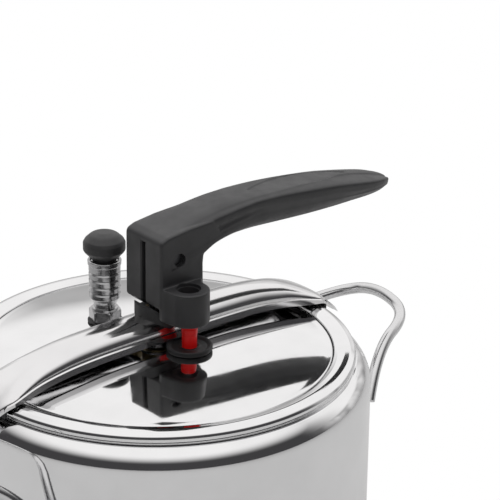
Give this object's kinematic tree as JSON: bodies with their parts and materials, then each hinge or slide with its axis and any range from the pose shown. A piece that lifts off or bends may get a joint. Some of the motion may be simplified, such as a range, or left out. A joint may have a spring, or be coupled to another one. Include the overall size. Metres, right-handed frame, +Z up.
{
  "type": "stovetop pressure cooker",
  "caption": "Round steel pressure cooker: inset lid drawn up under the rim by a swing lever on a bridge, with regulating valve, lock pin and loop handles.",
  "frame": {"origin": "centre of the pot's flat base, on the surface that it stands on", "axes": "+Z up, +X from the lid's centre along the lever's grip towards its tip, -Y towards the lock pin"},
  "size_m": [0.329, 0.226, 0.2208],
  "materials": {
    "polished_steel": "mirror polished stainless steel",
    "satin_steel": "satin stainless steel",
    "spring_steel": "drawn spring steel",
    "aluminium": "cast aluminium",
    "brass": "turned brass",
    "phenolic_black": "satin black phenolic moulding",
    "knob_black": "fine-textured black phenolic",
    "black_plastic": "matt black nylon",
    "black_rubber": "black rubber",
    "red_plastic": "bright red heat-resistant plastic"
  },
  "bodies": {
    "pot": {"pot_body": "polished_steel", "base_core": "aluminium", "base_cap": "satin_steel", "loop_handle_right": "polished_steel", "weld_plates_right": "satin_steel", "loop_handle_left": "polished_steel", "weld_plates_left": "satin_steel"},
    "bridge": {"bridge_arch": "polished_steel", "guide_bush": "brass", "bush_circlip": "spring_steel", "saddle_collar": "black_plastic", "bridge_foot_right": "black_rubber", "bridge_foot_left": "black_rubber"},
    "lid": {"lid_shell": "polished_steel", "lid_gasket": "black_rubber", "tie_rod": "satin_steel", "tie_rod_seal": "black_rubber", "tie_rod_nut": "satin_steel", "pin_grommet": "black_rubber", "pin_spring": "spring_steel", "pin_cage": "satin_steel", "valve_stem": "polished_steel", "valve_seal": "black_rubber", "valve_nut": "satin_steel", "valve_body": "polished_steel", "valve_spring": "spring_steel"},
    "lever": {"lever_handle": "phenolic_black", "pivot_pin": "satin_steel", "fork_liner": "satin_steel", "lock_sleeve": "phenolic_black"},
    "lock_pin": {"lock_pin": "red_plastic", "pin_retainer": "spring_steel"},
    "valve_knob": {"valve_knob": "knob_black", "valve_needle": "satin_steel"}
  },
  "joints": [
    {"name": "lid_lift", "type": "slide", "parent": "pot", "child": "bridge", "axis": [0, 0, 1], "range_m": [0, 0.08], "deforming": ["lid_gasket"]},
    {"name": "lid_drop", "type": "slide", "parent": "bridge", "child": "lid", "axis": [0, 0, -1], "range_m": [0, 0.006]},
    {"name": "lever_swing", "type": "hinge", "parent": "lid", "child": "lever", "pos_m": [0.0029, 0, 0.1995], "axis": [0, -1, 0], "range_deg": [0, 90]},
    {"name": "lock_pin_rise", "type": "slide", "parent": "lid", "child": "lock_pin", "axis": [0, 0, 1], "range_m": [0, 0.006], "stiffness_N_per_m": 150, "springref_m": -0.001, "deforming": ["pin_spring"]},
    {"name": "valve_knob_rise", "type": "slide", "parent": "lid", "child": "valve_knob", "axis": [0, 0, 1], "range_m": [0, 0.003], "stiffness_N_per_m": 400, "springref_m": -0.002, "deforming": ["valve_spring"]}
  ],
  "couplings": [
    {"joint": "lid_drop", "follows": "lever_swing", "m_per_rad": 0.0038193}
  ]
}
